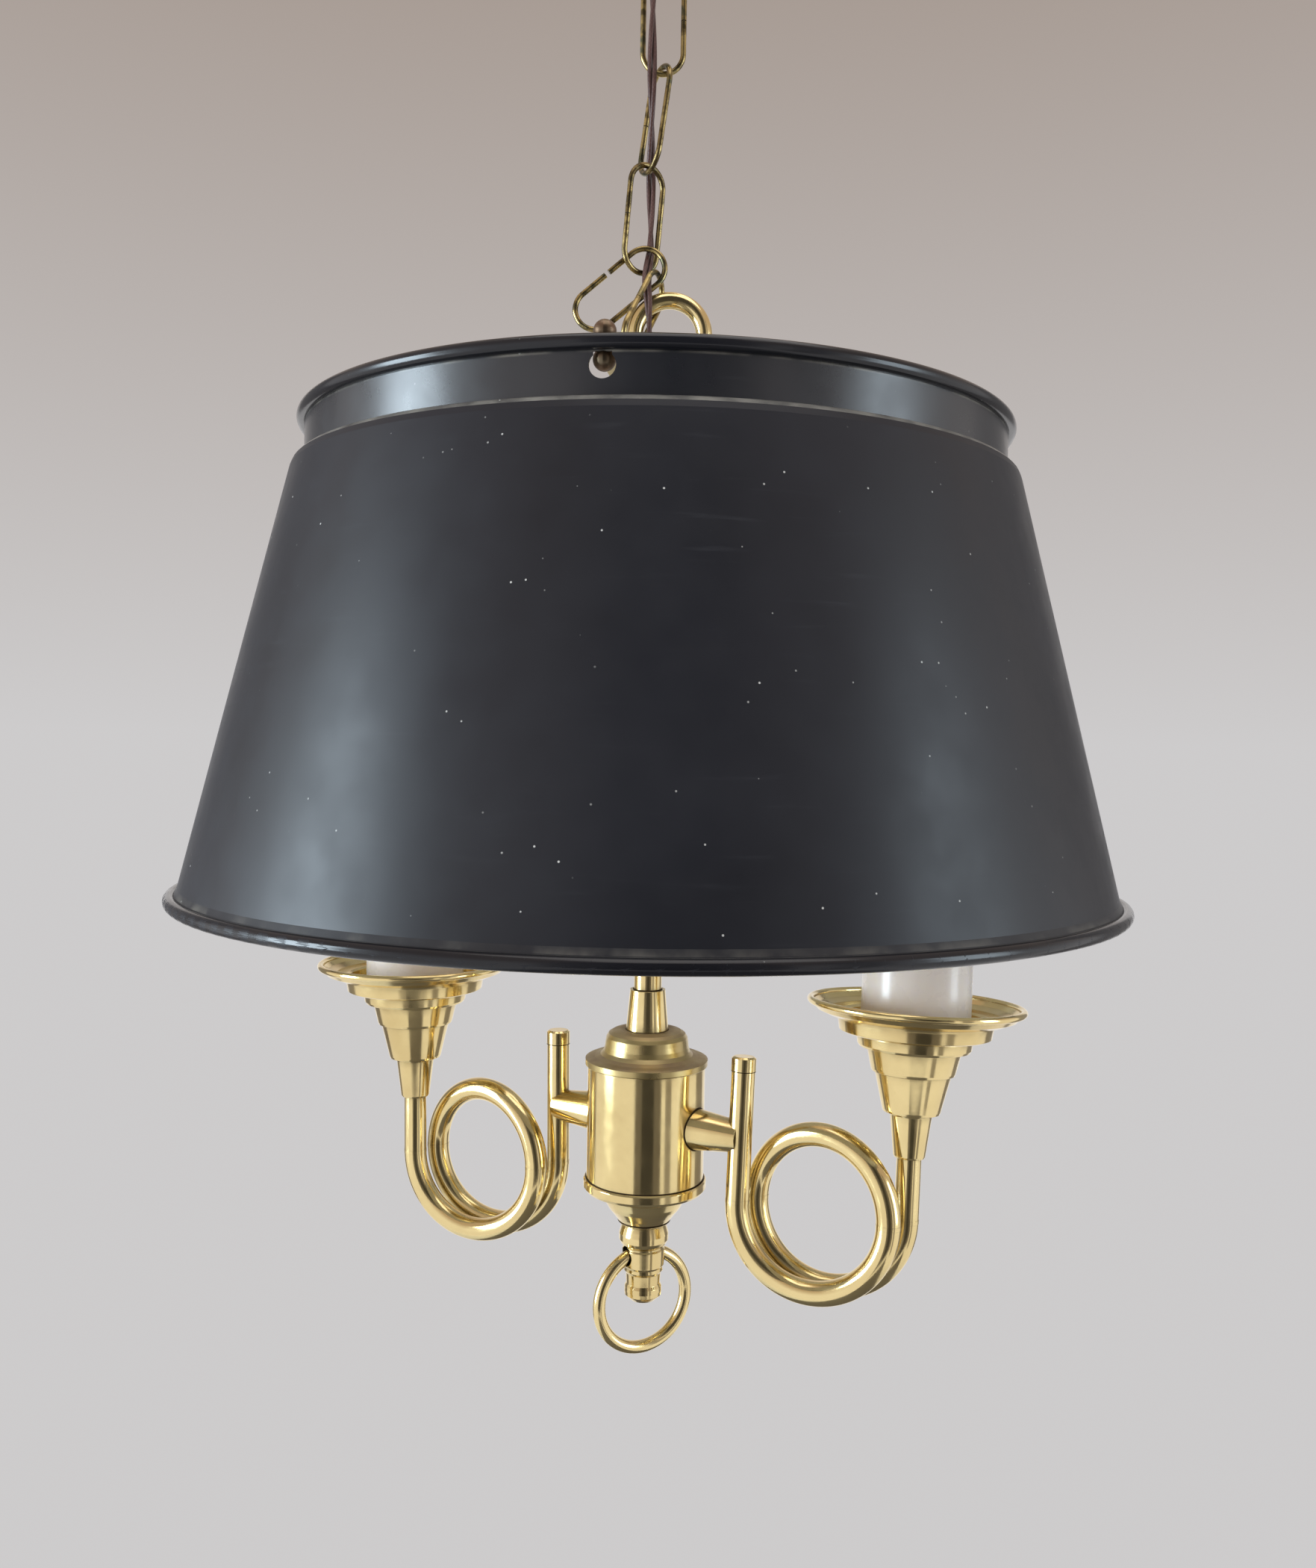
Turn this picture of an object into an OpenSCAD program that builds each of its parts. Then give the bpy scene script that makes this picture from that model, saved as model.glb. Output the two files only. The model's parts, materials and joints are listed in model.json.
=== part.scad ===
// Pendant lamp: a black sheet-metal shade over a brass two-arm horn fitting, on a slack brass chain
// and a twisted flex. Origin on the ceiling face, +Z up, the two arms along X. Millimetres.

/* [Ceiling fitting] */
// outer radius of the ceiling cup
canopy_r = 50; // [35:1:70]
// height of the ceiling cup
canopy_h = 42; // [30:1:60]
// wall of the ceiling cup
canopy_wall = 1.2; // [0.8:0.1:2]
// length of the ceiling strap
strap_len = 86; // [70:1:90]
// width of the ceiling strap
strap_w = 20; // [16:1:30]
// thickness of the ceiling strap
strap_t = 2.5; // [2:0.1:4]
// distance between the two ceiling screws
screw_gap = 60; // [40:1:66]
// radius of each ceiling screw hole
screw_r = 2.25; // [1.6:0.05:3]
// radius of the threaded tube that carries the lamp
nipple_r = 5; // [4:0.5:6.5]
// ring radius of the loop under the cup
loop_rc = 11; // [9:0.5:15]
// wire thickness of that loop
loop_d = 4.5; // [3:0.1:6]

/* [Chain and flex] */
// wire thickness of a chain link
wire_d = 2; // [1.5:0.1:3]
// half width of a link, to the middle of its wire
link_a = 7.15; // [6:0.05:9]
// straight length of a link's leg
link_leg = 22.7; // [16:0.1:30]
// open gap in the link that has slumped
open_gap = 1.6; // [0.3:0.1:2.4]
// gap of a closed butt joint
butt_gap = 0.3; // [0.1:0.05:0.6]
// overall thickness of the twisted flex
flex_d = 3.4; // [2.5:0.1:5]
// turn of the chain and the swivel ring from the arms
chain_turn = 30; // [0:1:60]

/* [Shade] */
// hang of the shade's upper rim below the ceiling cup
hang = 228.5; // [200:0.5:290]
// radius over the lower rim
shade_r = 165; // [140:1:200]
// radius over the upper rim
rim_r = 124; // [100:1:140]
// height from rim to rim
shade_h = 159.5; // [120:0.5:200]
// height of the upright neck
neck_h = 14.3; // [10:0.1:25]
// sheet thickness
sheet = 0.8; // [0.5:0.1:1.5]
// thickness of the wired lower rim
low_bead = 4.4; // [3:0.1:6]
// thickness of the wired upper rim
top_bead = 4.3; // [3:0.1:6]
// turn of the three carrier arms from the lamp's arms
carrier_turn = -67; // [-180:1:180]

/* [Stem and body] */
// outer radius of the stem tube
stem_r = 5; // [4:0.5:6.5]
// bore radius of the stem tube
stem_bore = 3.8; // [2.5:0.1:5]
// outer radius of the barrel
barrel_r = 21.3; // [18:0.1:26]
// height of the barrel
barrel_h = 41.1; // [30:0.2:60]
// gap between the shade's lower rim and the collar on the stem
body_gap = 36.5; // [20:0.1:60]
// ring radius of the pull ring
pull_rc = 17.7; // [14:0.1:22]
// wire thickness of the pull ring
pull_d = 4.6; // [3:0.1:6]
// turn of the pull ring from the arms
pull_turn = 58; // [0:1:90]
// ring radius of the swivel ring on the stem
ring_rc = 12.3; // [9:0.1:16]
// wire thickness of the swivel ring
ring_d = 5.9; // [4:0.1:7]
// sideways lean of the swivel ring
ring_lean = 10.8; // [0:0.2:15]

/* [Arms] */
// outer radius of the bent tube
tube_r = 4.2; // [3.5:0.05:4.4]
// distance from the lamp's axis to the upright pipe
pipe_u = 38.3; // [34:0.1:50]
// radius of the coil's lower bends, to the middle of the tube
coil_r = 26.8; // [24:0.1:34]
// how much tighter the upper bend is
coil_nip = 1.2; // [0:0.1:2]
// sideways step of one turn
coil_step = 10.9; // [8.9:0.1:16]
// height of the pipe's top above the nozzle
pipe_up = 28.2; // [20:0.1:45]
// depth of the coil's centre under the nozzle
coil_down = 21.9; // [15:0.1:35]
// droop of the arm on the left, then on the right
arm_droop = [0.8, 0]; // [-5:0.1:5]
// turn of the arm in its nozzle on the left, then on the right
arm_twist = [0, -4]; // [-6:0.5:6]
// radius over the drip pan
pan_r = 36.8; // [30:0.1:45]
// outer radius of the candle sleeve
sleeve_r = 18.5; // [15:0.1:22]
// height of the candle sleeve
sleeve_h = 85; // [65:1:110]
// thread radius of the lampholder
socket_r = 13.3; // [13:0.05:14]

/* [Hidden] */
drop = canopy_h + hang;
$fn = 48;
run_gap = 0.3;
brass = [0.80, 0.62, 0.27];
aged = [0.52, 0.44, 0.22];
black = [0.06, 0.06, 0.08];
steel = [0.62, 0.63, 0.65];
ivory = [0.93, 0.90, 0.80];
mauve = [0.36, 0.26, 0.26];

link_len = link_leg + 2 * link_a;
wire_r = wire_d / 2;
loop_collar = 8;
loop_z = -canopy_h - loop_collar - loop_rc - loop_d / 2 + 1.5;
link1_z = loop_z - loop_rc + loop_d / 2 + wire_r + run_gap;
link2_z = link1_z - link_len + wire_d + run_gap;
link3_z = link2_z - link_len + wire_d + run_gap;

low_c = shade_r - low_bead / 2;
top_c = rim_r - top_bead / 2;
neck_r = top_c - 0.25;
cone_top = neck_r + 4.9;
cone_low = shade_r - low_bead;
ball_r = 3.2;
ball_u = top_c - 3.85;
ball_z = sqrt(pow(top_bead / 2 + ball_r + 0.02, 2) - pow(top_c - ball_u, 2));
arm_t = 2 * (ball_z - ball_r) - 0.04;
carrier_angles = [carrier_turn, carrier_turn + 120, carrier_turn + 240];

collar_z = -shade_h - body_gap;
collar_h = 14.6;
cap_z = collar_z - collar_h;
cap_h = 12.8;
barrel_z = cap_z - cap_h;
base_z = barrel_z - barrel_h;
nozzle_z = barrel_z - barrel_h / 2;
finial_z = base_z - 15.7;
hole_z = finial_z - 12.8;
stem_low = finial_z - 7;
pull_z = hole_z + 0.9 - pull_rc;

swivel_z = 17.6;
swivel_r = 6.4;
ring_up = ring_rc + ring_d / 2 + swivel_r - 0.6;
stem_top = 5.6;
hub_top = stem_top - 5;
entry_z = 8.4;

coil_z = nozzle_z - coil_down;
top_r = coil_r - coil_nip;
coil_phi = asin(coil_step / (4 * coil_r));
top_phi = asin(coil_step / (4 * top_r));
cup_u = pipe_u + 4 * coil_r * cos(coil_phi) - 2 * top_r * cos(top_phi);
cup_v = 1.5 * coil_step;
cup_z = nozzle_z - 0.5;
cup1_z = cup_z + 15.3;
pan_z = cup1_z + 26.4;
rim_z = pan_z + 9.8;
holder_z = pan_z + 1.2;

// three columns of a frame whose z column runs against d and whose x column lies near w
function unit(v) = v / norm(v);
function across(d, w) = unit(w - (w * unit(d)) * unit(d));
function frame(o, d, w) =
    let (z = -unit(d), x = across(d, w), y = cross(z, x))
    [[x[0], y[0], z[0], o[0]], [x[1], y[1], z[1], o[1]], [x[2], y[2], z[2], o[2]], [0, 0, 0, 1]];

// lamp-side pieces are drawn with z = 0 at the middle of the upper rim
module hung() { translate([0, 0, -drop]) children(); }
module chained() { rotate([0, 0, chain_turn]) children(); }
// one arm as it sits in its nozzle
function arm_lean(side) = let (i = side < 0 ? 0 : 1) [arm_twist[i], arm_droop[i], 0];
module arm(side) {
    hung() rotate([0, 0, side < 0 ? 180 : 0]) translate([pipe_u, 0, nozzle_z])
        rotate(arm_lean(side)) translate([-pipe_u, 0, -nozzle_z]) children();
}
module ring(rc, d) { rotate_extrude() translate([rc, 0]) circle(d = d); }
module tube(ro, ri, z0, z1) {
    translate([0, 0, z0]) difference() {
        cylinder(r = ro, h = z1 - z0);
        translate([0, 0, -1]) cylinder(r = ri, h = z1 - z0 + 2);
    }
}
module hex_nut(across, bore, h) {
    difference() {
        cylinder(d = across / cos(30), h = h, $fn = 6);
        translate([0, 0, -1]) cylinder(r = bore, h = h + 2);
    }
}

module ceiling_strap() {
    color(steel) translate([0, 0, -strap_t]) difference() {
        translate([-strap_len / 2, -strap_w / 2, 0]) cube([strap_len, strap_w, strap_t]);
        for (x = [-1, 1]) translate([x * screw_gap / 2, 0, -1]) cylinder(r = screw_r, h = strap_t + 2);
        translate([0, 0, -1]) cylinder(r = nipple_r, h = strap_t + 2);
    }
}

module ceiling_nipple() {
    color(brass) tube(nipple_r, nipple_r - 1.5, -canopy_h - loop_collar + 2, -0.5);
}

module nipple_nuts() {
    color(brass) for (z = [-strap_t - 4, -canopy_h + canopy_wall])
        translate([0, 0, z]) hex_nut(17, nipple_r, 4);
}

module ceiling_cup() {
    w = canopy_wall;
    color(brass) difference() {
        rotate_extrude() polygon([
            [nipple_r, -canopy_h], [20, -canopy_h], [30, -canopy_h + 3], [38, -canopy_h + 9],
            [44, -canopy_h + 18], [47, -canopy_h + 28], [canopy_r - 1.6, -6], [canopy_r, -4],
            [canopy_r, -0.4], [canopy_r - w, -0.4], [canopy_r - w - 1.5, -6], [47 - w, -canopy_h + 28],
            [44 - w, -canopy_h + 18],
            [38 - w, -canopy_h + 9 + w], [30, -canopy_h + 3 + w], [20, -canopy_h + w],
            [nipple_r, -canopy_h + w]]);
        rotate([0, 0, chain_turn]) translate([-15, -6, -canopy_h - 1])
            cylinder(r = flex_d / 2 + 1.3, h = 4);
    }
}

module cup_loop() {
    color(brass) difference() {
        union() {
            translate([0, 0, -canopy_h - loop_collar]) cylinder(r = 8, h = loop_collar);
            translate([0, 0, loop_z]) rotate([90, 0, chain_turn]) ring(loop_rc, loop_d);
        }
        translate([0, 0, -canopy_h - loop_collar + 2]) cylinder(r = nipple_r, h = loop_collar);
    }
}

module terminal_block() {
    color(ivory) rotate([0, 0, chain_turn]) difference() {
        translate([-29, -12, -canopy_h + 12]) cube([22, 12, 16]);
        translate([-15, -6, -canopy_h + 11]) cylinder(r = flex_d / 2 + 0.3, h = 9);
        for (x = [-25, -20]) translate([x, -13, -canopy_h + 20]) rotate([-90, 0, 0])
            cylinder(r = 1.7, h = 6);
    }
}

module terminal_screws() {
    color(brass) rotate([0, 0, chain_turn]) for (x = [-25, -20])
        translate([x, -11.5, -canopy_h + 20]) rotate([-90, 0, 0]) cylinder(r = 1.7, h = 4.5);
}

module flex_bush() {
    color(black) rotate([0, 0, chain_turn]) translate([-15, -6, -canopy_h]) {
        tube(flex_d / 2 + 1.3, flex_d / 2 + run_gap, 0, 12);
        tube(flex_d / 2 + 2.6, flex_d / 2 + run_gap, -1.5, 0);
    }
}

// a link hangs from the middle of its upper bend, its joint in the leg at side s
module link(s, gap) {
    color(aged) difference() {
        union() {
            translate([0, 0, -link_a]) rotate([90, 0, 0])
                rotate_extrude(angle = 180) translate([link_a, 0]) circle(r = wire_r);
            translate([0, 0, -link_a - link_leg]) rotate([-90, 0, 0])
                rotate_extrude(angle = 180) translate([link_a, 0]) circle(r = wire_r);
            for (x = [-link_a, link_a])
                translate([x, 0, -link_a - link_leg]) cylinder(r = wire_r, h = link_leg);
        }
        translate([s * link_a - 3, -3, -link_a - link_leg / 2 - gap / 2]) cube([6, 6, gap]);
    }
}

// each link's upper end, the way it hangs and the way it is wide: right, away, up from the rim
LINK_TOP = [[0, 0, link1_z + drop], [0, 0, link2_z + drop], [0, -0.1, link3_z + drop],
    [-4.4, -0.3, 97.5], [0.2, -0.85, 65.95], [0.4, 2.5, 58.4]];
LINK_DOWN = [[0, 0, -1], [0, 0, -1], [-4.9, 0, -36.65], [-3, 1.35, -36.8], [-28.3, 0, -23.9],
    [-11.8, -18.3, -30]];
LINK_WIDE = [[0, 1, 0], [1, 0, 0], [0.43, -0.82, 0], [0.76, 0.59, 0], [0.64, -0.06, -0.71],
    [-0.23, -0.72, 0.4]];

module link_at(i, s, gap) {
    hung() chained() multmatrix(frame(LINK_TOP[i], LINK_DOWN[i], LINK_WIDE[i])) link(s, gap);
}
module chain_link_1() { link_at(0, 1, butt_gap); }
module chain_link_2() { link_at(1, 1, butt_gap); }
module chain_link_3() { link_at(2, -1, butt_gap); }
module chain_link_4() { link_at(3, -1, butt_gap); }
module chain_link_5() { link_at(4, -1, open_gap); }
module chain_link_6() { link_at(5, 1, butt_gap); }

// the flex's route, seen from the photograph's side: right, away, up from the rim
FLEX_SPLIT = 180;
FLEX_TOP = [[-15, -6, drop - canopy_h + 18], [-15, -6, drop - canopy_h], [-14.4, -5.9, 216],
    [-10.6, -5.2, 204], [-6.2, -4.2, 192], [-4.2, -3.6, FLEX_SPLIT]];
FLEX_LOW = [[-4.2, -3.6, FLEX_SPLIT], [-3.9, -3.4, 168], [-3.8, -3.4, 150], [-3.75, -3.3, 130],
    [-3.65, -2.4, 120], [-3.6, 1, 107], [-3.7, 3.95, 99], [-3.55, 4.6, 95], [-3.45, 4.4, 88],
    [-3.3, 3.65, 80], [-3.4, 2.85, 69], [-3.65, 2.05, 66], [-4.3, -1.05, 60], [-4.4, -4.1, 54.5],
    [-3.85, -5.5, 49],
    [-3.3, -6.1, 40], [-3.1, -7, 29], [-2, -11.4, 21.6], [-0.8, -14.4, 16.6], [-0.2, -14.6, 12.4],
    [0, -13, 9.6], [0, -11, 8.4], [0, -9, entry_z], [0, -6, entry_z]];

module sweep(p, d, first, last) {
    n = 8;
    m = len(p) - 1;
    pts = [for (i = [0 : m])
        let (t = i == 0 ? first : i == m ? last : unit(p[i + 1] - p[i - 1]), x = across(t, [1, 0, 0]),
            y = cross(t, x))
        for (k = [0 : n - 1]) p[i] + d / 2 * (cos(k * 360 / n) * x + sin(k * 360 / n) * y)];
    polyhedron(pts, concat(
        [[for (k = [0 : n - 1]) k]],
        [for (i = [0 : m - 1]) for (k = [0 : n - 1])
            [i * n + k, (i + 1) * n + k, (i + 1) * n + (k + 1) % n, i * n + (k + 1) % n]],
        [[for (k = [n - 1 : -1 : 0]) m * n + k]]));
}
module flex_upper() { color(mauve) hung() chained() sweep(FLEX_TOP, flex_d, [0, 0, -1], [0, 0, -1]); }
module flex_lower() { color(mauve) hung() chained() sweep(FLEX_LOW, flex_d, [0, 0, -1], [0, 1, 0]); }

module swivel_ring() {
    color(brass) hung() chained() translate([0, 0, swivel_z]) rotate([0, ring_lean, 0]) {
        translate([0, 0, ring_up]) rotate([90, 0, 0]) ring(ring_rc, ring_d);
        cylinder(r = 3, h = swivel_r + 2);
        sphere(r = swivel_r);
    }
}

module swivel_cup() {
    color(brass) hung() difference() {
        rotate_extrude() polygon([[0, hub_top], [9, hub_top], [10, hub_top + 1], [10, 17], [9.4, 19.5],
            [8, 21.4], [0, 21.4]]);
        translate([0, 0, swivel_z]) sphere(r = swivel_r + run_gap);
        translate([0, 0, swivel_z]) cylinder(r1 = 4.6, r2 = 7.2, h = 5);
        translate([0, 0, hub_top - 1]) cylinder(r = stem_r, h = 6);
        translate([0, 0, stem_top - 1]) cylinder(r = stem_bore, h = 8);
        rotate([90, 0, chain_turn]) translate([0, entry_z, 0]) cylinder(r = flex_d / 2 + 1, h = 12);
    }
}

module stem_bush() {
    color(black) hung() chained() translate([0, -6, entry_z]) rotate([90, 0, 0])
        tube(flex_d / 2 + 1, flex_d / 2 + run_gap, 0, 4.4);
}

module stem_tube() {
    color(brass) hung() difference() {
        tube(stem_r, stem_bore, stem_low, stem_top);
        for (a = [0, 180]) translate([0, 0, nozzle_z]) rotate([0, 90, a]) cylinder(r = 2.2, h = 8);
    }
}

module carrier() {
    color(brass) hung() difference() {
        union() {
            translate([0, 0, hub_top - 5.6]) cylinder(r = 11, h = 5.6);
            for (a = carrier_angles) rotate([0, 0, a])
                translate([8, -3, -arm_t / 2]) cube([ball_u + 1.1 - 8, 6, arm_t]);
        }
        translate([0, 0, hub_top - 7]) cylinder(r = stem_r, h = 10);
        for (a = carrier_angles) rotate([0, 0, a]) translate([ball_u, 0, -5]) {
            cylinder(r = 1.3, h = 10);
            translate([0, -1.3, 0]) cube([4, 2.6, 10]);
        }
    }
}

module carrier_nuts() {
    color(brass) hung() translate([0, 0, hub_top - 9.6]) hex_nut(17, stem_r, 4);
}

module ball_studs() {
    color(aged) hung() for (a = carrier_angles) rotate([0, 0, a]) translate([ball_u, 0, 0]) {
        for (s = [-1, 1]) translate([0, 0, s * ball_z]) sphere(r = ball_r);
        translate([0, 0, -ball_z]) cylinder(r = 1.3, h = 2 * ball_z);
    }
}

module shade_neck() {
    z = -neck_h - sheet;
    color(black) hung() difference() {
        union() {
            ring(top_c, top_bead);
            rotate_extrude() polygon([[neck_r - sheet, -0.8], [neck_r, -0.8], [neck_r, z],
                [neck_r + 2.6, z - 0.5], [neck_r + 2.6, z - sheet - 0.5], [neck_r - sheet, z - sheet]]);
        }
        for (a = carrier_angles) rotate([0, 0, a]) {
            translate([neck_r - 4, 0, -6]) rotate([0, 90, 0]) cylinder(r = 3.7, h = 8);
            translate([neck_r - 4, -2.6, -6]) cube([8, 5.2, 6 - top_bead / 2 - 0.3]);
        }
    }
}

module shade_cone() {
    s = sheet;
    z = -neck_h;
    low = -shade_h;
    color(black) hung() {
        translate([0, 0, low]) ring(low_c, low_bead);
        rotate_extrude() polygon([[neck_r, z], [neck_r + 1.6, z - 0.1], [neck_r + 3, z - 0.7],
            [neck_r + 4.1, z - 1.8], [cone_top, z - 3.7], [cone_low, low + 4], [low_c - 0.6, low + 1],
            [low_c - 1.2, low + 0.5], [cone_low - s, low + 3.4], [cone_top - s, z - 3.7],
            [neck_r + 3.5, z - 2.2], [neck_r + 2.6, z - s - 0.5], [neck_r, z - s]]);
    }
}

module stem_collar() {
    color(brass) hung() difference() {
        translate([0, 0, cap_z]) cylinder(r1 = 7.7, r2 = 6.4, h = collar_h);
        translate([0, 0, cap_z - 1]) cylinder(r = stem_r, h = collar_h + 2);
    }
}

module body_cap() {
    z = barrel_z;
    t = cap_z;
    inner = barrel_r - 1.2;
    color(brass) hung() rotate_extrude() polygon([[stem_r, t], [10.2, t], [12.4, t - 0.4], [13.9, t - 1.3],
        [14.7, t - 2.6], [15, t - 4.2], [15.2, t - 6], [15.7, t - 7.6], [16.8, t - 8.9], [18.8, t - 9.7],
        [21.2, t - 10.1], [22.2, t - 10.5], [22.2, z + 0.3], [21.9, z], [inner, z], [inner, z - 3],
        [inner - 1.2, z - 3], [inner - 1.2, z + 1], [14, z + 1.8], [13, t - 3.4], [11, t - 2],
        [stem_r, t - 2]]);
}

module body_barrel() {
    color(brass) hung() difference() {
        tube(barrel_r, barrel_r - 1.2, base_z, barrel_z);
        for (a = [0, 180]) translate([0, 0, nozzle_z]) rotate([0, 90, a]) cylinder(r = 4, h = 30);
    }
}

module splice_block() {
    color(ivory) hung() translate([-9, 6.2, base_z + 1]) cube([18, 9, 11]);
}

module body_base() {
    z = base_z;
    inner = barrel_r - 1.2;
    color(brass) hung() rotate_extrude() polygon([[stem_r, z + 1], [inner - 1.2, z + 1],
        [inner - 1.2, z + 3], [inner, z + 3], [inner, z], [21.9, z], [22.3, z - 0.6], [22.3, z - 3],
        [21.6, z - 4], [18, z - 5], [15.2, z - 6.5], [13.9, z - 9.4], [13, z - 11], [10.6, z - 14],
        [9.4, finial_z], [stem_r, finial_z]]);
}

module finial() {
    z = finial_z;
    color(brass) hung() difference() {
        rotate_extrude() polygon([[0, z], [9.2, z], [9.2, z - 0.6], [7.9, z - 1.4], [8.4, z - 2.8],
            [9, z - 4.8], [9, z - 7], [8.3, z - 8.4], [7.3, z - 9.4], [7.3, z - 10], [7.7, z - 10.6],
            [7.5, z - 16.4],
            [7, z - 17.2], [7.1, z - 18.4], [6.4, z - 19.4], [6.2, z - 23.3], [6.7, z - 24.4], [6.8, z - 26],
            [6.7, z - 27.4], [5.9, z - 28.2], [4.6, z - 29.4], [0, z - 29.6]]);
        translate([0, 0, stem_low]) cylinder(r = stem_r, h = 20);
        translate([0, 0, hole_z]) rotate([0, 90, pull_turn])
            cylinder(r = pull_d / 2 + 1.2, h = 30, center = true);
    }
}

module pull_ring() {
    color(brass) hung() translate([0, 0, pull_z]) rotate([90, 0, pull_turn]) ring(pull_rc, pull_d);
}

module nozzle(side) {
    color(brass) hung() rotate([0, 0, side < 0 ? 180 : 0]) difference() {
        translate([0, 0, nozzle_z]) rotate([0, 90, 0]) {
            translate([0, 0, barrel_r - 3]) cylinder(r1 = 7.6, r2 = 5.4, h = pipe_u - barrel_r + 3);
            translate([0, 0, barrel_r - 7]) cylinder(r = 4, h = 8);
        }
        difference() {
            translate([0, 0, nozzle_z - 12]) cylinder(r = barrel_r, h = 24);
            translate([0, 0, nozzle_z]) rotate([0, 90, 0]) cylinder(r = 4, h = barrel_r + 4);
        }
        translate([pipe_u, 0, nozzle_z]) rotate(arm_lean(side))
            translate([0, 0, -20]) cylinder(r = tube_r, h = 40);
        translate([0, 0, nozzle_z]) rotate([0, 90, 0]) cylinder(r = 2.2, h = pipe_u);
        translate([pipe_u + 1, -20, nozzle_z - 20]) cube([20, 40, 40]);
    }
}
module nozzle_left() { nozzle(-1); }
module nozzle_right() { nozzle(1); }

module nozzle_nuts() {
    color(brass) hung() for (a = [0, 180]) rotate([0, 0, a])
        translate([barrel_r - 6.2, 0, nozzle_z]) rotate([0, 90, 0]) hex_nut(12, 4, 4);
}

// one half turn of the coil in an upright plane, below the start for s = 1 and above it for s = -1
module half_turn(s, r) {
    translate([r, 0, 0]) rotate([s > 0 ? -90 : 90, 0, 0])
        rotate_extrude(angle = 180) translate([r, 0]) circle(r = tube_r);
    braze();
}

// a low band where two bends are joined
module braze() { translate([0, 0, -0.6]) cylinder(r = tube_r + 0.08, h = 1.2); }

// upright pipe, three half turns one after the other, then the riser to the cup
module horn(side) {
    color(brass) arm(side) translate([pipe_u, 0, coil_z]) {
        cylinder(r = tube_r, h = nozzle_z - coil_z + pipe_up - 5);
        rotate([0, 0, coil_phi]) {
            half_turn(1, coil_r);
            translate([2 * coil_r, 0, 0]) rotate([0, 0, 180 - coil_phi - top_phi]) {
                half_turn(-1, top_r);
                translate([2 * top_r, 0, 0]) rotate([0, 0, 180 + coil_phi + top_phi]) {
                    half_turn(1, coil_r);
                    translate([2 * coil_r, 0, 0]) {
                        cylinder(r = tube_r, h = cup_z - coil_z + 6);
                        braze();
                    }
                }
            }
        }
    }
}
module horn_left() { horn(-1); }
module horn_right() { horn(1); }

module horn_plugs() {
    color(brass) for (side = [-1, 1]) arm(side) translate([pipe_u, 0, nozzle_z + pipe_up - 5]) {
        cylinder(r = tube_r + 0.15, h = 4.4);
        translate([0, 0, 4.4]) cylinder(r1 = tube_r + 0.15, r2 = tube_r - 0.6, h = 0.6);
    }
}

module at_cup(side) { arm(side) translate([cup_u, cup_v, 0]) children(); }

module ferrule(side) {
    color(brass) at_cup(side) difference() {
        rotate_extrude() polygon([[0, cup_z], [tube_r + 0.9, cup_z], [tube_r + 1.2, cup_z + 0.6],
            [7.1, cup1_z - 1], [7.4, cup1_z - 0.4], [7.1, cup1_z], [0, cup1_z]]);
        translate([0, 0, cup_z - 1]) cylinder(r = tube_r, h = 7);
        translate([0, 0, cup_z + 5]) cylinder(r = nipple_r, h = 20);
    }
}
module ferrule_left() { ferrule(-1); }
module ferrule_right() { ferrule(1); }

module stepped_cup(side) {
    z = cup1_z;
    color(brass) at_cup(side) rotate_extrude() polygon([[nipple_r, z], [9.6, z], [9.9, z + 0.8],
        [12.7, z + 12.4], [12.9, z + 13.2], [14, z + 13.4], [14.3, z + 14.2], [15.8, z + 20.6],
        [16, z + 21.4], [18.7, z + 21.6], [19.2, z + 22.4], [19.6, z + 25.4], [19.4, pan_z], [15.2, pan_z],
        [11.8, z + 16], [8.4, z + 4], [nipple_r, z + 3]]);
}
module cup_left() { stepped_cup(-1); }
module cup_right() { stepped_cup(1); }

module cup_nipples() {
    color(brass) for (side = [-1, 1]) at_cup(side) tube(nipple_r, nipple_r - 1.5, cup_z + 6, holder_z + 8);
}

module pan(side) {
    z = pan_z;
    color(brass) at_cup(side) rotate_extrude() {
        translate([pan_r - 1.2, rim_z]) circle(r = 1.2);
        polygon([[nipple_r, z], [24.8, z], [25.6, z + 0.4], [26.2, z + 4.2], [26.5, z + 5], [30.2, z + 5.6],
            [33.4, z + 6.9], [pan_r - 1.3, rim_z - 0.7], [pan_r - 1.9, rim_z + 0.3], [33, z + 8.1],
            [30, z + 6.8], [26.2, z + 6.2], [25.2, z + 5.6], [24.6, z + 1.2], [nipple_r, z + 1.2]]);
    }
}
module pan_left() { pan(-1); }
module pan_right() { pan(1); }

module sleeve(side) {
    color(ivory) at_cup(side) tube(sleeve_r, sleeve_r - 1, holder_z, holder_z + sleeve_h);
}
module sleeve_left() { sleeve(-1); }
module sleeve_right() { sleeve(1); }

module holder(side) {
    z = holder_z;
    top = holder_z + sleeve_h - 6;
    color(black) at_cup(side) difference() {
        rotate_extrude() polygon([[0, z], [10, z], [10, top - 44], [16, top - 38], [16, top], [0, top]]);
        translate([0, 0, z - 1]) cylinder(r = nipple_r, h = 9);
        translate([0, 0, top - 28]) cylinder(r = socket_r + 0.6, h = 40);
        translate([0, 0, z]) cylinder(r = 3, h = sleeve_h);
    }
}
module holder_left() { holder(-1); }
module holder_right() { holder(1); }

module shell(side) {
    top = holder_z + sleeve_h - 6;
    color(brass) at_cup(side) tube(socket_r + 0.6, socket_r, top - 26, top - 1);
}
module shell_left() { shell(-1); }
module shell_right() { shell(1); }

module contacts() {
    top = holder_z + sleeve_h - 6;
    color(brass) for (side = [-1, 1]) at_cup(side) {
        translate([0, 0, top - 34]) cylinder(r = 3, h = 7.5);
        translate([0, 0, top - 28]) cylinder(r = 5, h = 1.5);
    }
}

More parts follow.
